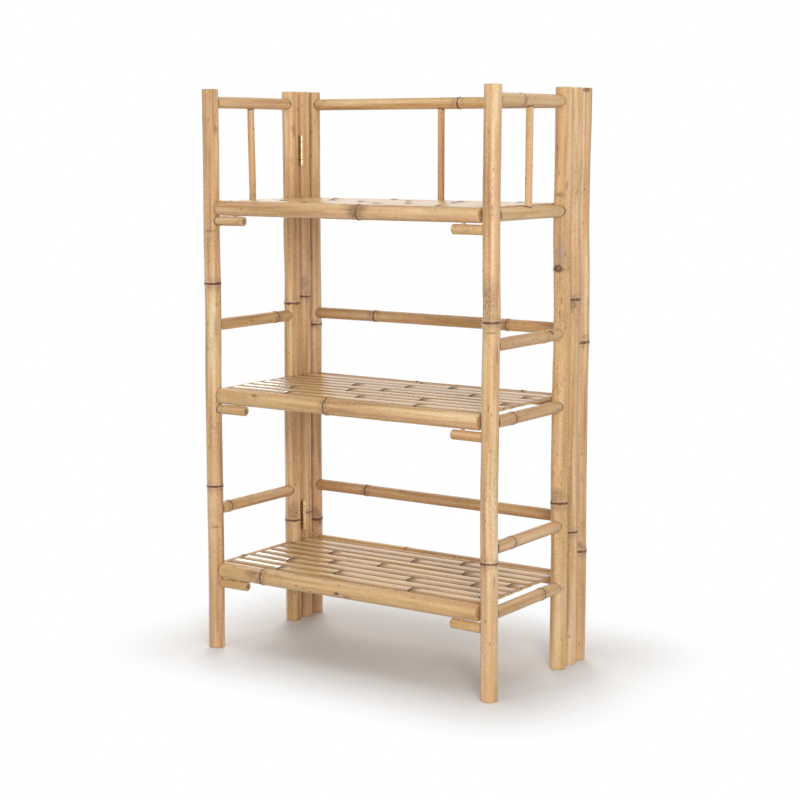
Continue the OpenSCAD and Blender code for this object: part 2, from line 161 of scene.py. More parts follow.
class Graph:
    """A short way to write a node tree."""

    def __init__(self, tree):
        self.tree = tree
        tree.nodes.clear()

    def add(self, kind, inputs=None, **settings):
        made = self.tree.nodes.new(kind)
        for key, value in settings.items():
            setattr(made, key, value)
        for key, value in (inputs or {}).items():
            self.put(made.inputs[key], value)
        return made

    def put(self, socket, value):
        if isinstance(value, bpy.types.NodeSocket):
            self.tree.links.new(value, socket)
        else:
            socket.default_value = value

    def read(self, name, output="Vector"):
        """What the mesh says in its attribute of this name."""
        return self.add("ShaderNodeAttribute", attribute_name=name).outputs[output]

    def spot(self):
        """The place in the object's own axes."""
        return self.add("ShaderNodeTexCoord").outputs["Object"]

    def seen(self):
        """1 for what the camera sees, also in a mirror or through glass, else 0."""
        path = self.add("ShaderNodeLightPath").outputs
        direct = self.math("MAXIMUM", path["Is Camera Ray"], path["Is Glossy Ray"])
        return self.math("MAXIMUM", direct, path["Is Transmission Ray"])

    def math(self, operation, a, b=0.0):
        return self.add("ShaderNodeMath", {0: a, 1: b}, operation=operation).outputs[0]

    def product(self, *factors):
        total = factors[0]
        for factor in factors[1:]:
            total = self.math("MULTIPLY", total, factor)
        return total

    def distance(self, a, b):
        return self.math("ABSOLUTE", self.math("SUBTRACT", a, b))

    def vector(self, operation, a, b=(0.0, 0.0, 0.0), output="Vector"):
        return self.add("ShaderNodeVectorMath", {0: a, 1: b}, operation=operation).outputs[output]

    def times(self, vector, scale):
        return self.vector("MULTIPLY", vector, scale)

    def fade(self, value, start, end, low=0.0, high=1.0):
        return self.add("ShaderNodeMapRange", {0: value, 1: start, 2: end, 3: low, 4: high},
                        interpolation_type="SMOOTHSTEP").outputs[0]

    def noise(self, vector, scale, detail=3.0, rough=0.5):
        return self.add("ShaderNodeTexNoise", {"Vector": vector, "Scale": scale,
                        "Detail": detail, "Roughness": rough}).outputs[0]

    def mix(self, share, a, b):
        return self.add("ShaderNodeMix", {0: share, 6: a, 7: b}, data_type="RGBA").outputs[2]

    def ramp(self, value, stops):
        made = self.add("ShaderNodeValToRGB", {0: value})
        band = made.color_ramp.elements
        while len(band) < len(stops):
            band.new(0.5)
        for stop, (place, colour) in zip(band, stops):
            stop.position, stop.color = place, colour
        return made.outputs[0]

    def close(self, colour, rough, height, relief, more=None):
        """Ends a material with one shader. relief is its bump's strength and depth in metres."""
        bump = self.add("ShaderNodeBump", {"Strength": relief[0], "Distance": relief[1],
                        "Height": height})
        inputs = {"Base Color": colour, "Roughness": rough, "Normal": bump.outputs[0]}
        inputs.update(more or {})
        body = self.add("ShaderNodeBsdfPrincipled", inputs)
        self.add("ShaderNodeOutputMaterial", {"Surface": body.outputs[0]})


def new_material(name, kind=Graph):
    """An empty material and the graph of its nodes."""
    made = bpy.data.materials.new(name)
    made.use_nodes = True
    return made, kind(made.node_tree)


def light_world():
    """Even white light, and a plain white wherever the camera sees past the floor."""
    world = bpy.data.worlds.new("soft white studio")
    bpy.context.scene.world = world
    world.use_nodes = True
    g = Graph(world.node_tree)
    strength = g.fade(g.seen(), 0.0, 1.0, WORLD_LIGHT, 1.0)
    sky = g.add("ShaderNodeBackground", {"Color": WHITE, "Strength": strength})
    g.add("ShaderNodeOutputWorld", {"Surface": sky.outputs[0]})


def lamp(name, place, aim, size, watts, mirrored=True):
    """A soft box of this width and height, which varnish mirrors or not."""
    data = bpy.data.lights.new(name, "AREA")
    data.shape, data.size, data.size_y, data.energy = "RECTANGLE", size[0], size[1], watts
    made = bpy.data.objects.new(name, data)
    bpy.context.collection.objects.link(made)
    made.location = place
    made.rotation_euler = (Vector(aim) - Vector(place)).to_track_quat("-Z", "Y").to_euler()
    made.visible_camera = False
    made.visible_glossy = mirrored


def floor_paint():
    """Pale paint that keeps the shadow near the feet and fades into the white around them."""
    made, g = new_material("pale studio floor")
    past = g.vector("ABSOLUTE", g.vector("SUBTRACT", g.spot(), FOOT_MIDDLE))
    past = g.vector("MAXIMUM", g.vector("SUBTRACT", past, FOOTPRINT))
    reach = g.vector("LENGTH", past, output="Value")
    paint = g.add("ShaderNodeBsdfPrincipled", {"Base Color": linear(*FLOOR_SHADE),
                  "Roughness": FLOOR_ROUGH, "Specular IOR Level": FLOOR_SHINE})
    glow = g.product(g.seen(), FLOOR_LIFT)
    lift = g.add("ShaderNodeEmission", {"Color": WHITE, "Strength": glow})
    lit = g.add("ShaderNodeAddShader", {0: paint.outputs[0], 1: lift.outputs[0]})
    clear = g.add("ShaderNodeBsdfTransparent")
    cover = g.add("ShaderNodeMixShader", {0: g.fade(reach, FADE_FROM, FADE_TO), 1: lit.outputs[0],
                  2: clear.outputs[0]})
    g.add("ShaderNodeOutputMaterial", {"Surface": cover.outputs[0]})
    return made


light_world()
lamp("key", (2.53, -2.59, 1.5), UNIT_MIDDLE, (1.0, 1.9), 45.0, False)
lamp("fill", (-0.93, -3.47, 1.3), UNIT_MIDDLE, (0.9, 1.9), 15.0, False)
lamp("gleam", (2.3, -2.6, 1.06), UNIT_MIDDLE, (0.9, 2.1), 29.0)
lamp("overhead", (0.3, -0.3, 3.2), UNIT_MIDDLE, (2.0, 2.0), 14.0)
lamp("back", (-1.6, 2.2, 2.4), (0.0, 0.0, 0.5), (1.2, 1.2), 46.0, False)
lamp("rim", (-2.27, 1.83, 0.58), (-0.1, 0.0, 0.4), (0.85, 0.9), 9.5)

floor_mesh = bpy.data.meshes.new("floor")
floor_mesh.from_pydata([(x * FLOOR_HALF, y * FLOOR_HALF, -FLOOR_DROP)
                        for x, y in ((-1, -1), (1, -1), (1, 1), (-1, 1))], [], [(0, 1, 2, 3)])
floor = bpy.data.objects.new("floor", floor_mesh)
bpy.context.collection.objects.link(floor)
floor_mesh.materials.append(floor_paint())


# Materials
# Each kind of knot, stain or painted shade: where it starts to fade and ends, its share inside, its
# colour
KNOT_KINDS = {"eye": (0.4, 1.6, 0.6, (150, 112, 90)), "crack": (0.4, 1.0, 0.75, (104, 74, 52)),
              "dirt": (0.3, 1.3, 0.8, (118, 88, 66)), "shade": (0.3, 1.2, 0.5, (112, 80, 56)),
              "grey": (0.4, 1.2, 0.7, (160, 134, 118)), "blotch": (0.2, 1.2, 0.66, (142, 106, 70))}


class Skin(Graph):
    """The outside of a culm, painted in layers. Every distance in it is in metres."""

    def __init__(self, tree):
        super().__init__(tree)
        self.grain = self.read("grain")
        marks = self.add("ShaderNodeSeparateXYZ", {0: self.read("marks")})
        self.node_far, self.seat_far, self.tone = (marks.outputs[i] for i in range(3))
        self.bands = self.streaks(0.035, 88.0, 2.0)
        self.fibres = self.streaks(0.012, 620.0, 2.0, 0.6)
        self.stain = self.streaks(0.3, 44.0, 5.0, 0.65)
        self.soil = self.fade(self.streaks(0.6, 330.0, 5.0, 0.75), 0.46, 0.62)

    def streaks(self, along, scale, detail, rough=0.5):
        """Noise drawn out along the grain: the smaller along is, the longer its streaks."""
        return self.noise(self.times(self.grain, (1.0, 1.0, along)), scale, detail, rough)

    def lay(self, share, shade):
        """Lays a shade over what is painted so far."""
        self.colour = self.mix(share, self.colour, linear(*shade))

    def paint_bands(self, shades):
        """Bands along the culm, the tint of each stretch, stains, mottling and fibres."""
        places = (0.34, 0.45, 0.55, 0.66)
        self.colour = self.ramp(self.bands, [(p, linear(*s)) for p, s in zip(places, shades)])
        broad = self.streaks(0.25, 22.0, 2.0)
        hue = self.streaks(0.07, 60.0, 2.0)
        mottle = self.streaks(0.6, 420.0, 3.0, 0.6)
        for pattern, start, end, low, high, shade in (
                (broad, 0.42, 0.66, 0.0, 0.4, shades[1]),
                (self.tone, 0.0, 0.4, 0.35, 0.0, (208, 162, 120)),
                (self.tone, 0.6, 1.0, 0.0, 0.4, (226, 190, 128)),
                (hue, 0.54, 0.66, 0.0, 0.45, (222, 176, 138)),
                (hue, 0.34, 0.46, 0.45, 0.0, (208, 174, 110)),
                (self.stain, 0.56, 0.72, 0.0, 0.5, (170, 128, 86)),
                (mottle, 0.36, 0.64, 0.16, 0.0, (160, 114, 70)),
                (mottle, 0.52, 0.70, 0.0, 0.3, (242, 218, 178)),
                (self.fibres, 0.3, 0.7, 0.13, 0.0, (150, 106, 64))):
            self.lay(self.fade(pattern, start, end, low, high), shade)

    def paint_specks(self):
        """Scattered flecks, thin veins and patches of dirt."""
        dots = self.add("ShaderNodeTexVoronoi", {
            "Vector": self.times(self.grain, (1.0, 1.0, 0.35)), "Scale": 120.0}).outputs
        chance = self.add("ShaderNodeSeparateColor", {0: dots["Color"]}).outputs[0]
        fleck = self.fade(dots["Distance"], 0.09, 0.24, 1.0, 0.0)
        self.lay(self.product(fleck, self.fade(chance, 0.74, 0.8), 0.65), (116, 80, 52))
        vein = self.fade(self.distance(self.streaks(0.55, 62.0, 1.0), 0.5), 0.004, 0.02, 1.0, 0.0)
        where = self.fade(self.streaks(0.6, 34.0, 1.0), 0.58, 0.64)
        self.lay(self.product(vein, where, 0.32), (128, 88, 58))
        dirt = self.fade(self.streaks(0.35, 27.0, 3.0), 0.50, 0.66)
        self.lay(self.product(dirt, self.soil, 0.42), (142, 106, 74))

    def paint_slat_highlight_and_shade(self):
        """Painted highlight along a slat's crown, and painted shade towards the grooves beside it.
        """
        groove = self.math("ADD", self.read("groove", "Fac"),
                           self.fade(self.stain, 0.3, 0.7, -0.08, 0.08))
        self.lay(self.fade(groove, 0.1, 0.7, 0.6, 0.0), (252, 222, 176))
        self.lay(self.fade(groove, 0.5, 1.0, 0.0, 0.62), (140, 100, 64))

    def paint_nodes(self, scar, wrinkle, scar_shade):
        """At each node a smudge to both sides, fine wrinkles, a pale lip and the dark scar."""
        wander = self.fade(self.noise(self.grain, 150.0), 0.2, 0.8, -0.0009, 0.0009)
        self.near = self.math("ABSOLUTE", self.math("ADD", self.node_far, wander))
        near = self.near
        patch = self.fade(self.streaks(0.5, 62.0, 4.0), 0.38, 0.60)
        smudge = self.fade(near, 0.001, 0.016, 1.0, 0.0)
        self.lay(self.product(smudge, patch, 0.5), (152, 114, 86))
        ring = self.fade(near, 0.002, 0.011, 1.0, 0.0)
        self.lay(self.product(ring, self.soil, 0.35), (138, 100, 72))
        waves = self.math("SINE", self.product(self.math("ADD", near, wander), 1500.0))
        self.fold = self.product(self.fade(near, 0.004, 0.019, 1.0, 0.0),
                                 self.fade(waves, 0.1, 0.9), self.fade(patch, 0.0, 1.0, 0.25, 1.0))
        self.lay(self.product(self.fold, 0.16 + 0.5 * wrinkle), (124, 86, 60))
        self.lay(self.fade(self.distance(near, scar + 0.0013), 0.0003, 0.0014, 0.16, 0.0),
                 (236, 208, 170))
        line = self.fade(near, scar * 0.55, scar, 1.0, 0.0)
        weight = self.fade(self.noise(self.grain, 80.0, 2.0), 0.3, 0.55, 0.7, 0.95)
        self.lay(self.product(line, weight), scar_shade)

    def shape_relief(self, wrinkle):
        """Fibres and bands stand out a little, and the wrinkles at a node are sunk."""
        grown = self.math("ADD", self.product(self.fibres, 0.4), self.product(self.bands, 0.9))
        self.height = self.math("SUBTRACT", grown, self.product(self.fold, 0.5 + wrinkle))

    def paint_knots(self, knots):
        """Knots, stains and bands of painted shade at set places, each as its kind says."""
        spot = self.spot()
        ragged = self.fade(self.stain, 0.3, 0.7, -0.3, 0.3)
        for place, size, kind in knots:
            from_middle = self.vector("SUBTRACT", spot, tuple(c * MM for c in place))
            scaled = self.times(from_middle, tuple(1.0 / (c * MM) for c in size))
            far = self.math("ADD", self.vector("LENGTH", scaled, output="Value"), ragged)
            start, end, most, shade = KNOT_KINDS[kind]
            share = self.fade(far, start, end, most, 0.0)
            if kind == "dirt":
                share = self.product(share, self.fade(self.soil, 0.0, 1.0, 0.4, 1.0))
            self.lay(share, shade)
            if kind == "eye":
                self.lay(self.fade(self.distance(far, 0.62), 0.05, 0.5, 0.9, 0.0), (86, 60, 58))
                self.height = self.math("ADD", self.height, self.fade(far, 0.5, 1.3, 1.2, 0.0))
            elif kind == "crack":
                self.height = self.math("SUBTRACT", self.height, self.fade(far, 0.2, 1.0, 1.0, 0.0))


def bamboo_skin(name, shades, coat, coat_rough, rough, scar, wrinkle=0.0, knots=(),
                relief=0.4, shine=0.4, slat=False):
    """The varnished outside of a culm, or of a slat split from one."""
    made, g = new_material(name, Skin)
    g.paint_bands(shades)
    g.paint_specks()
    if slat:
        # Painted highlight on a slat's crown and painted shade beside its grooves
        g.paint_slat_highlight_and_shade()
    g.paint_nodes(scar, wrinkle, (66, 44, 30) if slat else (98, 68, 50))
    dull = g.math("ADD", g.fade(g.stain, 0.4, 0.8, rough, rough + 0.14),
                  g.fade(g.near, 0.001, 0.008, 0.12, 0.0))
    if slat:
        # On a slat the second mark is how far past the node this is, so a dull stain follows it
        past = g.math("ADD", g.seat_far, g.fade(g.stain, 0.3, 0.7, -0.006, 0.006))
        g.lay(g.fade(past, 0.005, 0.026, 0.66, 0.0), (126, 94, 62))
        dull = g.math("ADD", dull, g.fade(past, 0.006, 0.034, 0.4, 0.0))
    else:
        # Painted shade: a dark ring round the place where a pole goes into another
        g.lay(g.fade(g.seat_far, 0.001, 0.0028, 0.95, 0.0), (90, 60, 40))
    g.shape_relief(wrinkle)
    if knots:
        g.paint_knots(knots)
    g.close(g.colour, dull, g.height, (relief, 0.0008), {
        "Specular IOR Level": shine, "Coat Weight": coat, "Coat Roughness": coat_rough})
    return made


def bamboo_wood(name, pale, deep, scale):
    """Cut bamboo: the ends of the fibres show as small dark dots in paler wood."""
    made, g = new_material(name)
    flat = g.times(g.read("grain"), (1.0, 1.0, 0.05))
    dots = g.add("ShaderNodeTexVoronoi", {"Vector": flat, "Scale": scale}).outputs["Distance"]
    cloud = g.noise(flat, 160.0, 4.0)
    colour = g.mix(g.fade(cloud, 0.3, 0.7), linear(*pale), linear(*deep))
    colour = g.mix(g.fade(dots, 0.15, 0.4, 0.45, 0.0), colour, linear(112, 80, 52))
    g.close(colour, g.fade(cloud, 0.3, 0.7, 0.55, 0.7), dots, (0.4, 0.0004))
    return made


def metal(name, base, worn, rough, gaps=None):
    """Brushed metal. Painted shade darkens the seams where gaps says: (heights of the middles,
    distance from them).
    """
    made, g = new_material(name)
    spot = g.spot()
    brushed = g.noise(g.times(spot, (1.0, 1.0, 0.04)), 2400.0, 2.0)
    cloud = g.noise(spot, 190.0, 4.0, 0.6)
    colour = g.mix(g.fade(cloud, 0.4, 0.7), linear(*base), linear(*worn))
    if gaps:
        # Painted shade: dark lines at the seams between a hinge's knuckles
        height = g.add("ShaderNodeSeparateXYZ", {0: spot}).outputs[2]
        away = [g.distance(height, z * MM) for z in gaps[0]]
        from_gap = g.distance(g.math("MINIMUM", *away), gaps[1] * MM)
        colour = g.mix(g.fade(from_gap, 0.0002, 0.0008, 0.8, 0.0), colour, linear(110, 84, 50))
    g.close(colour, g.fade(cloud, 0.3, 0.7, rough, rough + 0.16), brushed, (0.08, 0.0001),
            {"Metallic": 1.0})
    return made


def dowel_wood():
    """Turned dowels, with fibres drawn out along Y and Z, the two ways that the dowels run."""
    made, g = new_material("turned dowel wood")
    spot = g.spot()
    fibres = g.noise(g.times(spot, (1.0, 0.1, 0.1)), 900.0, 3.0)
    cloud = g.noise(spot, 60.0, 3.0)
    colour = g.mix(g.fade(cloud, 0.3, 0.7), linear(222, 188, 142), linear(205, 164, 116))
    colour = g.mix(g.fade(fibres, 0.4, 0.75, 0.0, 0.4), colour, linear(160, 118, 76))
    g.close(colour, g.fade(fibres, 0.3, 0.7, 0.5, 0.62), fibres, (0.3, 0.0003))
    return made


# Marks in the photograph: place and size in millimetres, and kind
ALL_ALONG = 4000.0       # the size of a mark that runs the whole length of a post
POST_KNOTS = (
    ((349, 79, 836), (11, 11, 10.5), "eye"), ((353, 79, 868), (13, 13, 32), "grey"),
    ((364, 93, 839), (3, 4, 4), "crack"), ((362, 87, 858), (1.4, 1.4, 15), "crack"),
    ((349, 79, 985), (12, 12, 5), "blotch"), ((361, 86, 1003), (3.5, 3.5, 11), "blotch"),
    ((347, 79, 1028), (2, 2, 10), "crack"), ((356, 81, 925), (1.6, 1.6, 9), "crack"),
    ((359, 84, 912), (1.4, 1.4, 6), "crack"), ((355, 81, 770), (2, 2, 10), "crack"),
    ((-330, -182, 1116), (7, 7, 9), "blotch"), ((-340, -194, 904), (17, 17, 4.5), "blotch"),
    ((-336, -191, 268), (17, 17, 4.5), "blotch"), ((-332, -187, 700), (4, 4, 28), "grey"),
    ((-330, -177, 652), (1.5, 1.5, 24), "crack"), ((-331, 88, 1114), (5, 5, 16), "blotch"),
    ((-336, 82, 258), (19, 19, 20), "dirt"), ((-336, 124, 772), (13, 13, 26), "grey"),
    ((-330, 175, 219), (5, 6, 10), "crack"), ((-336, 164, 238), (17, 17, 16), "dirt"),
    ((360, 165, 1196), (12, 12, 7), "crack"), ((355, 163, 250), (16, 16, 10), "blotch"),
    ((356, -193, 729), (19, 12, 2.6), "blotch"), ((356, -193, 790), (21, 14, 44), "dirt"),
    ((364, -182, 682), (3, 3, 26), "blotch"), ((351, -195, 584), (1.3, 1.5, 10), "crack"),
    ((336, -191, 422), (3, 3, 5), "crack"), ((362, -186, 242), (3, 3, 16), "blotch"),
    ((355, 123, 762), (16, 14, 16), "dirt"), ((354, 80, 372), (19, 14, 18), "dirt"),
    # Painted shade: dark bands where the left rear, spacer and back posts face each other across
    # their gaps
    ((-330, 158, 600), (30, 6.5, ALL_ALONG), "shade"),
    ((-330, 117, 600), (30, 4.5, ALL_ALONG), "shade"))
BEAM_KNOTS = (
    ((39, -190, 954), (30, 16, 17), "dirt"), ((44, -190, 956), (24, 14, 15), "blotch"),
    ((4, -184, 966), (9, 5, 3), "blotch"), ((181, -184, 966), (7, 5, 3), "blotch"),
    ((-254, -193, 952), (4, 2.5, 2), "crack"), ((-225, -193, 957), (3, 2, 1.6), "crack"),
    ((-115, -195, 170), (9, 3, 1.6), "crack"), ((-98, -194, 166), (9, 3, 1.6), "crack"),
    ((-84, -193, 162), (7, 3, 1.6), "crack"), ((-12, -194, 168), (7, 5, 4.5), "eye"),
    ((12, -192, 163), (11, 6, 6), "dirt"), ((8, -192, 163), (4, 3, 2.2), "crack"),
    ((26, -193, 166), (3, 2.5, 2), "crack"), ((-236, -193, 176), (16, 8, 12), "dirt"),
    ((-225, -193, 562), (8, 3, 3), "crack"), ((120, -190, 560), (12, 5, 4), "blotch"))
RAIL_KNOTS = (
    ((357, 39, 710), (7, 7, 6), "eye"), ((-336, -60, 703), (6, 9, 5), "blotch"),
    ((325, -172, 138), (8, 4, 4), "eye"))
POLE_SHADES = ((174, 130, 84), (209, 166, 118), (224, 186, 138), (238, 210, 168))
RAIL_SHADES = ((176, 132, 84), (208, 166, 114), (220, 181, 132), (234, 204, 160))
# The rail shades made darker, for the back rails below the top one
BACK_SHADES = ((160, 119, 76), (191, 152, 104), (203, 166, 120), (217, 188, 146))
SLAT_SHADES = ((182, 136, 82), (211, 167, 107), (224, 184, 122), (235, 201, 142))
pole_skin = bamboo_skin("bamboo pole skin", POLE_SHADES, 0.45, 0.26, 0.42, 0.0021,
                        knots=POST_KNOTS, shine=0.22)
beam_skin = bamboo_skin("bamboo beam skin", POLE_SHADES, 0.3, 0.28, 0.42, 0.002, 1.0,
                        BEAM_KNOTS, shine=0.3)
rail_skin = bamboo_skin("bamboo rail skin", RAIL_SHADES, 0.25, 0.28, 0.42, 0.0018, 0.3,
                        RAIL_KNOTS, shine=0.3)
back_skin = bamboo_skin("bamboo back rail skin", BACK_SHADES, 0.25, 0.28, 0.42, 0.0018, 0.3,
                        shine=0.3)
slat_skin = bamboo_skin("bamboo slat skin", SLAT_SHADES, 0.0, 0.2, 0.11, 0.0034, 0.2,
                        relief=0.12, shine=0.4, slat=True)
aged_wood = bamboo_wood("darkened beam ends", (216, 182, 128), (188, 152, 104), 1500.0)
cut_wood = bamboo_wood("bamboo cut ends", (230, 200, 154), (206, 166, 118), 1500.0)
pith_wood = bamboo_wood("bamboo pith and bore", (176, 148, 120), (146, 114, 86), 700.0)
SKIN, CUT, PITH = 0, 1, 2


# Meshes
def smooth_line(points, place):
    """The value at place on a smooth line through (place, value) points."""
    if place <= points[0][0]:
        return points[0][1]
    for (a, low), (b, high) in zip(points, points[1:]):
        if place <= b:
            share = (place - a) / (b - a)
            return low + (high - low) * share * share * (3 - 2 * share)
    return points[-1][1]


# Share of a node's full swelling at each distance past it, in millimetres
NODE_SHAPE = ((-9, 0.0), (-5, 0.3), (-2.6, 0.7), (-1.0, 1.0), (-0.4, 0.75), (0, 0.3), (0.4, 0.75),
              (1.0, 1.0), (3.0, 0.55), (7, 0.0))
NODE_EXTRA_RINGS = (-1.8, 1.9, 5.0)
# Rings near an end, as shares of its rounding, and the least room between two rings
END_RINGS, RING_ROOM = (0.0, 0.08, 0.3, 0.6, 1.0), 0.16


def node_swelling(gap):
    """Share of the full swelling at this distance past a node."""
    if not NODE_SHAPE[0][0] < gap < NODE_SHAPE[-1][0]:
        return 0.0
    for (a, low), (b, high) in zip(NODE_SHAPE, NODE_SHAPE[1:]):
        if gap <= b:
            return low + (high - low) * (gap - a) / (b - a)
    return 0.0


def stations(length, nodes, step, ease, fine=()):
    """Places of the rings along a culm: even steps, closer at nodes, ends and fine stretches."""
    wanted = {ease * share for share in END_RINGS}
    wanted |= {length - place for place in wanted}
    wanted |= {length * i / round(length / step) for i in range(1, round(length / step))}
    for n in nodes:
        wanted |= {n + gap for gap, _ in NODE_SHAPE}
        wanted |= {n + gap for gap in NODE_EXTRA_RINGS}
    for start, end, pitch in fine:
        count = max(1, round((end - start) / pitch))
        wanted |= {start + (end - start) * i / count for i in range(count + 1)}
    kept = []
    for place in sorted(w for w in wanted if 0 <= w <= length):
        if not kept or place - kept[-1] > RING_ROOM:
            kept.append(place)
    kept[-1] = length
    return kept


class Surface:
    """Collects the points and faces of one piece, with what its material reads at each point."""

    def __init__(self):
        self.points, self.faces, self.kinds = [], [], []
        self.grain, self.marks, self.grooves = [], [], []

    def point(self, place, grain, marks, groove=0.0):
        self.points.append([c * MM for c in place])
        self.grain.append([c * MM for c in grain])
        self.marks.append([marks[0] * MM, marks[1] * MM, marks[2]])
        self.grooves.append(groove)
        return len(self.points) - 1

    def face(self, corners, kind):
        self.faces.append(tuple(corners))
        self.kinds.append(kind)

    def band(self, first, second, kind):
        """Quads between two closed rings of as many points."""
        count = len(first)
        for i in range(count):
            j = (i + 1) % count
            self.face((first[i], first[j], second[j], second[i]), kind)

    def build(self, name, skins, crease=38.0):
        mesh = bpy.data.meshes.new(name)
        mesh.from_pydata(self.points, [], self.faces)
        for skin in skins:
            mesh.materials.append(skin)
        mesh.polygons.foreach_set("material_index", self.kinds)
        mesh.polygons.foreach_set("use_smooth", [True] * len(self.faces))
        for label, rows in (("grain", self.grain), ("marks", self.marks)):
            layer = mesh.attributes.new(label, "FLOAT_VECTOR", "POINT")
            layer.data.foreach_set("vector", [c for row in rows for c in row])
        layer = mesh.attributes.new("groove", "FLOAT", "POINT")
        layer.data.foreach_set("value", self.grooves)
        mesh.validate()
        mesh.update()
        mesh.set_sharp_from_angle(angle=math.radians(crease))
        made = bpy.data.objects.new(name, mesh)
        bpy.context.collection.objects.link(made)
        return made


# Where a culm is let into another: how near its end that is, and the rings laid closer there
SEAT_NEAR, SEAT_REACH, SEAT_STEP = 60.0, 22.0, 0.6
# The fine pinch round a seat, by distance outside the other pole
PINCH_ZONE, PINCH_DEPTH, PINCH_AT, PINCH_WIDTH = (-0.2, 1.1), 0.55, 0.2, 0.45
TRIM_ZONE = 24.0         # the last stretch of a culm, which is drawn out to meet its trim
GRAIN_SPREAD, SWIRL_SPREAD = 900, 50
# A culm's unevenness: how quickly it changes round it and along it, and how far it lies inwards
ROUND_PACE, LONG_PACE, UNEVEN_IN = 0.9, 0.012, 0.45
POST_HOLLOWS = ((14, 22), (11, 14))    # how deep a post is seen to be hollow, at foot and top
# The ranges of a node's swelling, its lean to each side, and the weight of its scar
SWELL_RANGE, LEAN_RANGE, HEFT_RANGE = (0.75, 1.0), (-0.5, 0.5), (0.7, 1.3)


def seat_distance(place, seats):
    """How far a point lies outside the nearest pole that this one is let into."""
    nearest = FAR
    for centre, along, radius in seats:
        gap = [place[i] - centre[i] for i in range(3) if i != along]
        nearest = min(nearest, math.hypot(*gap) - radius)
    return nearest


def unevenness(swirl, x, y, z):
    """Smooth noise from -1 to 1 at this place, which each piece reads from a place of its own."""
    return noise.noise(Vector((x, y, z)) + swirl)


def random_growth(rng, count):
    """Where a piece lies in its grain and its unevenness, and the tint of each of its stretches."""
    shift = [rng.uniform(-GRAIN_SPREAD, GRAIN_SPREAD) for _ in range(3)]
    swirl = Vector([rng.uniform(-SWIRL_SPREAD, SWIRL_SPREAD) for _ in range(3)])
    return shift, swirl, [rng.random() for _ in range(count)]


def random_bends(rng, length, nodes, wander):
    """Two lines along a culm, one for each way across, which stray a little at its nodes."""
    turns = [float(n) for n in nodes] or [length * rng.uniform(0.35, 0.65)]
    return [[(0.0, 0.0)] + [(place, rng.uniform(-wander, wander)) for place in turns]
            + [(float(length), 0.0)] for _ in range(2)]


def cap_circles(kind, diameter, bore, hollow):
    """What closes a culm's end, from the rim inwards: (radius, depth, material) of each circle."""
    if kind == "hollow":
        return [(bore + 0.5, 0.0, CUT), (bore, 0.6, CUT), (bore - 0.3, hollow - 1.5, PITH),
                (bore - 1.6, hollow, PITH), (bore * 0.4, hollow + 0.6, PITH)]
    if kind == "pith":
        outer = diameter / 2
        return [(outer * 0.62, 0.0, CUT), (outer * 0.54, 0.5, PITH), (outer * 0.2, 1.1, PITH)]
    return [(diameter * 0.3, 0.0, CUT)]


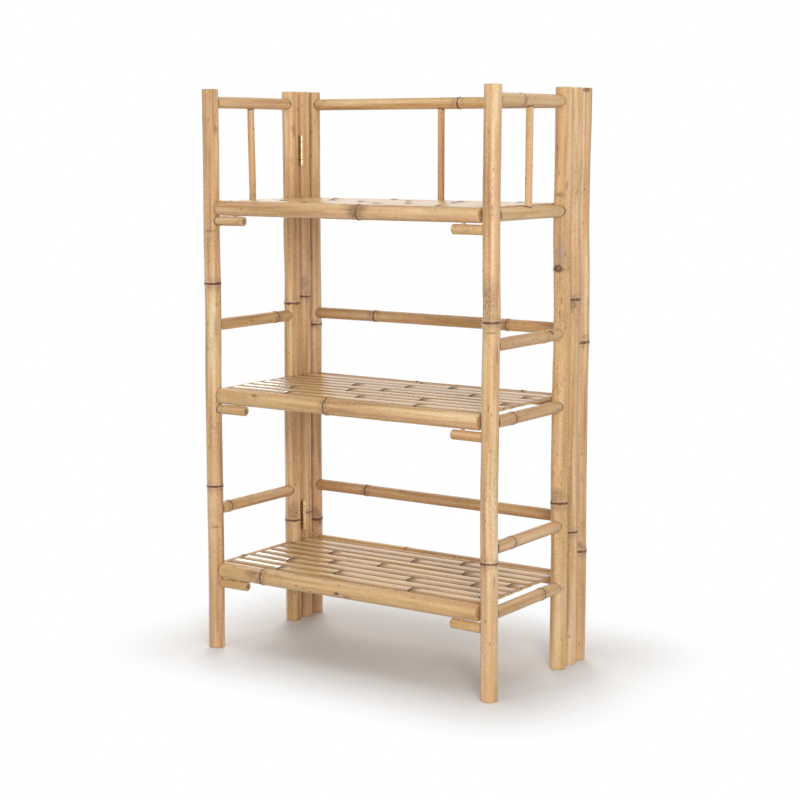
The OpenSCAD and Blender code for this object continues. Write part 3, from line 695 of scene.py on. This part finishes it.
def add_culm(surface, name, origin, axis, length, diameter, nodes=(), taper=0.0, sides=36,
             step=8.0, seats=(), ends=("plain", "plain"), hollows=(0.0, 0.0), bore=0.0,
             bends=None, wander=0.5, flat=None, trim=None, uneven=0.12, ease=0.8, extra=()):
    """One bamboo pole. origin is its start, axis 0, 1 or 2 its direction; all in millimetres."""
    rng = random.Random(name)
    across = [i for i in (0, 1, 2) if i != axis]
    shift, swirl, tones = random_growth(rng, len(nodes) + 1)
    tones = TINTS.get(name, tones)
    swells = [rng.uniform(*SWELL_RANGE) * SWELL for _ in nodes]
    tilts = [(rng.uniform(*LEAN_RANGE), rng.uniform(0, math.tau)) for _ in nodes]
    hefts = [HEFTS.get(name, {}).get(round(n), rng.uniform(*HEFT_RANGE)) for n in nodes]
    bends = bends or random_bends(rng, length, nodes, wander)
    turn = [math.tau * i / sides for i in range(sides)]
    fine = list(extra)
    for end, start in ((0, 0.0), (1, length - SEAT_REACH)):
        if any(abs(seat[0][axis] - (origin[axis] + end * length)) < SEAT_NEAR for seat in seats):
            fine.append((start, start + SEAT_REACH, SEAT_STEP))

    def spread(along, a, b):
        """The point at this distance along the culm's axis and these two across it."""
        place = [0.0, 0.0, 0.0]
        place[axis], place[across[0]], place[across[1]] = along, a, b
        return [start + gap for start, gap in zip(origin, place)]

    rings = []
    for s in stations(length, nodes, step, ease, fine):
        centre_a, centre_b = smooth_line(bends[0], s), smooth_line(bends[1], s)
        radius = diameter / 2 - taper * (s / length - 0.5) / 2
        edge = min(s, length - s)
        rounding = ease * (1 - math.sqrt(1 - ((ease - edge) / ease) ** 2)) if edge < ease else 0.0
        tone = tones[sum(1 for n in nodes if s > n)]
        ring = []
        for angle in turn:
            ca, cb = math.cos(angle), math.sin(angle)
            here, node_far = radius, FAR
            for n, swell, heft, (lean, lean_at) in zip(nodes, swells, hefts, tilts):
                gap = s - n + lean * math.cos(angle - lean_at)
                here += swell * node_swelling(gap)
                node_far = min(node_far, abs(gap) / heft)
            here += uneven * (unevenness(swirl, ca * ROUND_PACE, cb * ROUND_PACE, s * LONG_PACE)
                              - UNEVEN_IN)
            here -= rounding
            u, v = here * ca, here * cb
            along = s
            if trim and s > length - TRIM_ZONE:
                start = length - TRIM_ZONE
                limit = trim(u + centre_a, v + centre_b)
                along = start + (s - start) * (limit - start) / TRIM_ZONE
            place = spread(along, centre_a + u, centre_b + v)
            seat = seat_distance(place, seats) if seats else FAR
            if PINCH_ZONE[0] < seat < PINCH_ZONE[1]:
                closeness = math.exp(-((seat - PINCH_AT) / PINCH_WIDTH) ** 2)
                pinch = 1 - PINCH_DEPTH * closeness / here
                place = spread(along, centre_a + u * pinch, centre_b + v * pinch)
            if flat:
                flat(s, place)
            place = [max(low, min(high, c)) for c, low, high in zip(place, LOW, HIGH)]
            ring.append(surface.point(place, (u + shift[0], v + shift[1], along + shift[2]),
                                      (node_far, min(FAR, max(seat, -FAR)), tone)))
        rings.append(ring)
    outward = axis != 1      # a ring across Y runs the other way round
    for first, second in zip(rings, rings[1:]):
        surface.band(*((first, second) if outward else (second, first)), SKIN)
    for end, last in ((0, rings[0]), (1, rings[-1])):
        forward = (end == 1) == outward
        s, inward = length * end, 1 - 2 * end
        centre_a, centre_b = smooth_line(bends[0], s), smooth_line(bends[1], s)
        tone = tones[-1 if end else 0]
        for radius, depth, kind in cap_circles(ends[end], diameter, bore, hollows[end]):
            made = []
            for angle in turn:
                u, v = radius * math.cos(angle), radius * math.sin(angle)
                along = (trim(u, v) if trim and end else s) + inward * depth
                made.append(surface.point(spread(along, centre_a + u, centre_b + v),
                                          (u + shift[0], v + shift[1], s + shift[2]),
                                          (FAR, FAR, tone)))
            surface.band(*((last, made) if forward else (made, last)), kind)
            last = made
        surface.face(last if forward else reversed(last), kind)


def culm(node, body, slot, skin, *args, **settings):
    """One pole as an object of its own that stands for its CAD node."""
    surface = Surface()
    add_culm(surface, node, *args, **settings)
    ends = (aged_wood, aged_wood) if skin is beam_skin else (cut_wood, pith_wood)
    made = surface.build(node + "_culm", (skin,) + ends)
    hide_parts(node)
    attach(made, body)


def post(node, body, x, y, nodes, hinge_side=0):
    """An upright, hollow at both ends, with flat seats for the hinges on one side."""
    def seat_flat(s, place):
        for z in HINGE_Z:
            if abs(s - z) <= SEAT_LEN / 2:
                limit = y + hinge_side * SEAT_OUT
                place[1] = min(place[1], limit) if hinge_side > 0 else max(place[1], limit)
    rng = random.Random(node + " ends")
    rim = 0.3
    extra = [(z + e * SEAT_LEN / 2, z + e * (SEAT_LEN / 2 + rim), rim)
             for z in HINGE_Z for e in (-1, 1)] if hinge_side else []
    bends = ([tuple(map(float, p)) for p in POST_BENDS[node]], [(0.0, 0.0), (UNIT_H, 0.0)])
    culm(node, body, "bamboo_poles", pole_skin, (x, y, 0.0), 2, UNIT_H, 2 * POST_R,
         nodes=nodes, sides=44, ends=("hollow", "hollow"), bore=BORE_R,
         hollows=[rng.uniform(*span) for span in POST_HOLLOWS], bends=bends,
         flat=seat_flat if hinge_side else None, uneven=0.3, ease=1.5, extra=extra)


def peg(i, side, sign, body):
    """A stub that sticks inward from a front post, under the end of a beam."""
    inside = POST_R - RAIL_IN_POST
    z = LEVELS[SHELVES[i] + "_shelf"] - BEAM_D[i] / 2 - PEG_GAP - PEG_D / 2
    if sign < 0:
        start, ends = -POST_X + inside, ("plain", "pith")
        bends = ([(0.0, 0.0)], [(0.0, 0.0), PEG_BEND, (PEG_REACH, PEG_RISE)])
    else:
        start, ends = POST_X - PEG_REACH, ("pith", "plain")
        bends = ([(0.0, 0.0)], [(0.0, LOWEST_PEG_RISE if i == 0 else 0.0), (PEG_REACH, 0.0)])
    culm("%s_peg_%s" % (SHELVES[i], side), body, "bamboo_rails", rail_skin, (start, FRONT_Y, z), 0,
         PEG_REACH - inside, PEG_D, sides=32, step=6.0, ends=ends, ease=1.8, bends=bends,
         seats=[((sign * POST_X, FRONT_Y, 0), 2, POST_R)])


def side_frame(side, sign):
    """The four posts at one side, and the rails and pegs that turn with the front two."""
    x, body = sign * POST_X, side + "_side_frame"
    post("back_post_" + side, "back_frame", x, BACK_Y, BACK_NODES[side])
    post("spacer_post_" + side, "back_frame", x, SPACER_Y, SPACER_NODES[side], -1)
    post("front_post_" + side, body, x, FRONT_Y, FRONT_NODES[side])
    post("rear_post_" + side, body, x, REAR_Y, REAR_NODES[side], 1)
    inside = POST_R - RAIL_IN_POST
    for (level, z), nodes in zip(LEVELS.items(), SIDE_RAIL_NODES[side]):
        culm(side + "_rail_" + level, body, "bamboo_rails", rail_skin, (x, FRONT_Y + inside, z), 1,
             REAR_Y - FRONT_Y - 2 * inside, RAIL_D, nodes=nodes, sides=32, step=7.0,
             seats=[((x, FRONT_Y, 0), 2, POST_R), ((x, REAR_Y, 0), 2, POST_R)])
    for i in range(len(SHELVES)):
        peg(i, side, sign, body)


def spindle(node, body, x, y, along, lean):
    """A thin upright between the two highest rails, which run along axis 0 or 1."""
    start = LEVELS["upper_shelf"] + RAIL_D / 2 - SPINDLE_IN_RAIL
    length = LEVELS["top"] - RAIL_D / 2 + SPINDLE_IN_RAIL - start
    straight, leaning = ((0.0, 0.4), (length, -0.4)), ((0.0, -lean), (length, lean))
    culm(node, body, "bamboo_rails", rail_skin, (x, y, start), 2, length, SPINDLE_D,
         sides=28, step=7.0, bends=(straight, leaning) if along else (leaning, straight),
         seats=[((x, y, LEVELS["upper_shelf"]), along, RAIL_D / 2),
                ((x, y, LEVELS["top"]), along, RAIL_D / 2)])


def back_rails():
    """The six rails between the back posts."""
    length = 2 * (POST_X - POST_R + RAIL_IN_POST)
    for (level, z), nodes in zip(LEVELS.items(), BACK_RAIL_NODES):
        skin = rail_skin if level == "top" else back_skin
        culm("back_rail_" + level, "back_frame", "bamboo_rails", skin, (-length / 2, BACK_Y, z), 0,
             length, RAIL_D, nodes=[n + length / 2 for n in nodes], sides=32, wander=0.9,
             seats=[((-POST_X, BACK_Y, 0), 2, POST_R), ((POST_X, BACK_Y, 0), 2, POST_R)])


# A slat's outline: points on its shoulders, crown and underside, and its worn lower edges
SHOULDER_TURNS, CROWN_STEPS, UNDER_STEPS, EDGE_CUT = (20, 40, 60, 80), 10, 8, 0.25
# A slat's unevenness in millimetres, and how quickly it changes along the slat and across it
SLAT_SINK, SLAT_WAVE, EDGE_WAVE, EDGE_ZONE = 0.25, 0.22, 0.24, 0.3
SINK_PACE, WAVE_PACE, EDGE_PACE = 0.008, (0.02, 0.15), 0.013
END_MARK = 0.5           # how far outside its end a slat has a node, which darkens the end
# The rings along a slat, how far its nodes lean, and how the stain past a node narrows to its sides
SLAT_STEP, SLAT_EASE, SLAT_LEAN, STAIN_START, STAIN_CURVE = 9.0, 0.8, 0.7 / 17, 0.3, 0.02


def slat_profile(width):
    """Outline of a split slat across its length: (across, height, kind), from the left rim."""
    outer, inner = SLAT_R, SLAT_R - SLAT_WALL
    rise = SLAT_H - SLAT_R
    half = width / 2
    edge_y = half - SLAT_SHOULDER
    edge_z = rise + math.sqrt(outer * outer - edge_y * edge_y)
    turns = [math.radians(t) for t in SHOULDER_TURNS]
    shoulder = [(edge_y + SLAT_SHOULDER * math.sin(t), edge_z - SLAT_SHOULDER * (1 - math.cos(t)))
                for t in turns]
    crown = [edge_y * (2 * i / CROWN_STEPS - 1) for i in range(CROWN_STEPS + 1)]
    points = [(-y, z, SKIN) for y, z in reversed(shoulder)]
    points += [(y, rise + math.sqrt(outer * outer - y * y), SKIN) for y in crown]
    points += [(y, z, SKIN) for y, z in shoulder]
    side = [(half, points[-1][1] * 0.5, CUT), (half, EDGE_CUT, CUT), (half - EDGE_CUT, 0.0, CUT)]
    low = math.acos(-rise / inner)
    under = [low - 2 * low * i / UNDER_STEPS for i in range(UNDER_STEPS + 1)]
    points += side
    points += [(inner * math.sin(angle), max(0.0, rise + inner * math.cos(angle)), PITH)
               for angle in under]
    points += [(-y, z, kind) for y, z, kind in reversed(side)]
    return points


def close_slat(surface, ring, kinds, forward):
    """Closes a slat's end with a row of quads between its crown and its underside."""
    crown = [k for k, kind in enumerate(kinds) if kind == SKIN]
    under = [k for k, kind in enumerate(kinds) if kind != SKIN][::-1]
    picks = [under[round(k * (len(under) - 1) / (len(crown) - 1))] for k in range(len(crown))]
    for (a, b), (d, c) in zip(zip(crown, crown[1:]), zip(picks, picks[1:])):
        corners = list(dict.fromkeys((ring[a], ring[b], ring[c], ring[d])))
        surface.face(corners if forward else reversed(corners), CUT)


def add_slat(surface, name, y_mid, z_base, width, nodes):
    """One slat along X, split from a culm, convex side up."""
    rng = random.Random(name)
    shift, swirl, tones = random_growth(rng, len(nodes) + 1)
    length = 2 * (POST_X - POST_R - SLAT_END)
    nodes = [n + length / 2 for n in nodes]
    profile = slat_profile(width)
    lean = rng.uniform(-SLAT_LEAN, SLAT_LEAN)
    rings = []
    for s in stations(length, nodes, SLAT_STEP, SLAT_EASE):
        tone = tones[sum(1 for n in nodes if s > n)]
        low = SLAT_SINK * (1 + unevenness(swirl, s * SINK_PACE, 0, 0))
        ring = []
        for y, z, _ in profile:
            node_far, past, grow = min(s, length - s) + END_MARK, FAR, 0.0
            for n in nodes:
                gap = s - n + lean * y
                grow += node_swelling(gap) * SLAT_SWELL
                node_far = min(node_far, abs(gap))
                if s - n > STAIN_START:
                    past = min(past, s - n + STAIN_CURVE * y * y)
            wave = SLAT_WAVE * unevenness(swirl, s * WAVE_PACE[0], y * WAVE_PACE[1], 3)
            dz = wave - low + grow if z > SLAT_H / 3 else 0.0
            dy = 0.0
            if abs(y) > width / 2 - EDGE_ZONE:
                dy = EDGE_WAVE * unevenness(swirl, s * EDGE_PACE, 9 + (y > 0), 0)
            place = (s - length / 2, y_mid + y + (dy if y < 0 else -dy), z_base + z + dz)
            ring.append(surface.point(place, (y + shift[0], z + shift[1], s + shift[2]),
                                      (node_far, past, tone), abs(y) * 2 / width))
        rings.append(ring)
    kinds = [kind for _, _, kind in profile]
    count = len(profile)
    for first, second in zip(rings, rings[1:]):
        for i in range(count):
            j = (i + 1) % count
            kind = kinds[i] if kinds[i] == kinds[j] else CUT
            surface.face((first[j], first[i], second[i], second[j]), kind)
    close_slat(surface, rings[0], kinds, True)
    close_slat(surface, rings[-1], kinds, False)


def cope(start, bearer_z, rod_z):
    """The trim of a bearer's far end, which is hollowed to go round the rod above it."""
    def limit(_, v):
        drop = bearer_z + v - rod_z
        reach = ROD_D / 2 + COPE_FIT
        back = math.sqrt(reach * reach - drop * drop) if abs(drop) < reach else 0.0
        return SPACER_Y - back - start
    return limit


def front_beam(i, shelf, body):
    """The thick round beam at the front of a shelf, which is a little short at its right end."""
    beam_len = 2 * (POST_X - POST_R - BEAM_GAP)
    culm(shelf + "_front_beam", body, "bamboo_poles", beam_skin,
         (-beam_len / 2, FRONT_Y, LEVELS[body]), 0, beam_len - BEAM_SHORT, BEAM_D[i],
         nodes=[n + beam_len / 2 for n in BEAM_NODES[i]], taper=BEAM_TAPER, sides=44,
         ends=("hollow", "hollow"), hollows=(BEAM_HOLLOW, BEAM_HOLLOW),
         bore=BEAM_D[i] / 2 - BEAM_WALL, wander=0.7, uneven=0.35, ease=2.2)


def shelf_pieces(i, shelf):
    """The beam, rod, bearers and slats of one shelf."""
    body = shelf + "_shelf"
    beam_r = BEAM_D[i] / 2
    crown = LEVELS[body] + beam_r
    rod_z = crown - ROD_DROP - ROD_D / 2
    deck = crown - SLAT_H
    bearer_z = deck - BEARER_D / 2 - BEARER_DROP
    front_beam(i, shelf, body)

    rod_len, overlap = 2 * (POST_X - POST_R - ROD_GAP), 0.2
    surface = Surface()
    add_culm(surface, shelf + "_pivot_rod", (-rod_len / 2, SPACER_Y, rod_z), 0, rod_len, ROD_D,
             nodes=[n + rod_len / 2 for n in ROD_NODES[i]], sides=32)
    reach = ROD_GAP + PIVOT_REACH
    for sign, start in ((-1, -rod_len / 2 - reach), (1, rod_len / 2 - overlap)):
        add_culm(surface, "%s_pivot_%d" % (shelf, sign), (start, SPACER_Y, rod_z), 0,
                 reach + overlap, PIVOT_D, sides=32, wander=0.0, uneven=0.0)
    rod = surface.build(shelf + "_pivot_rod_culm", (rail_skin, cut_wood, pith_wood))
    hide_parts(shelf + "_pivot_rod")
    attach(rod, body)

    start = FRONT_Y + beam_r - BEARER_IN_BEAM
    surface = Surface()
    for x in BEARER_X:
        add_culm(surface, "%s_bearer_%d" % (shelf, x), (x, start, bearer_z), 1, SPACER_Y - start,
                 BEARER_D, sides=28, wander=0.4, trim=cope(start, bearer_z, rod_z),
                 seats=[((0, FRONT_Y, LEVELS[body]), 0, beam_r)])
    rods = surface.build(shelf + "_bearer_culms", (rail_skin, cut_wood, pith_wood))
    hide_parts(shelf + "_bearers")
    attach(rods, body)

    pitch = (SPACER_Y - FRONT_Y - beam_r - ROD_D / 2) / SLAT_COUNT
    surface = Surface()
    for k in range(SLAT_COUNT):
        add_slat(surface, "%s_slat_%d" % (shelf, k), FRONT_Y + beam_r + pitch * (k + 0.5), deck,
                 pitch - SLAT_GAP, SLAT_NODES[i][k])
    strips = surface.build(shelf + "_slat_strips", (slat_skin, cut_wood, pith_wood), 50.0)
    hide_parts(shelf + "_slats")
    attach(strips, body)


side_frame("left", -1)
side_frame("right", 1)
side_middle = (FRONT_Y + REAR_Y) / 2
spindle("left_spindle", "left_side_frame", -POST_X, side_middle, 1, -SPINDLE_LEAN)
spindle("right_spindle", "right_side_frame", POST_X, side_middle, 1, SPINDLE_LEAN)
spindle("back_spindle", "back_frame", 0.0, BACK_Y, 0, SPINDLE_LEAN / 4)
back_rails()
for index, shelf_name in enumerate(SHELVES):
    shelf_pieces(index, shelf_name)

# Hardware that keeps its CAD shape
brass = metal("brushed brass", (232, 212, 168), (212, 188, 136), 0.2, (HINGE_Z, KNUCKLE_HALF))
steel = metal("zinc plated steel", (190, 188, 180), (150, 148, 142), 0.32)
turned = dowel_wood()
for node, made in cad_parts.items():
    if "hinge" in node:
        finish = brass
    elif "screws" in node:
        finish = steel
    elif "dowels" in node:
        finish = turned
    else:
        continue
    made.data.materials.clear()
    made.data.materials.append(finish)
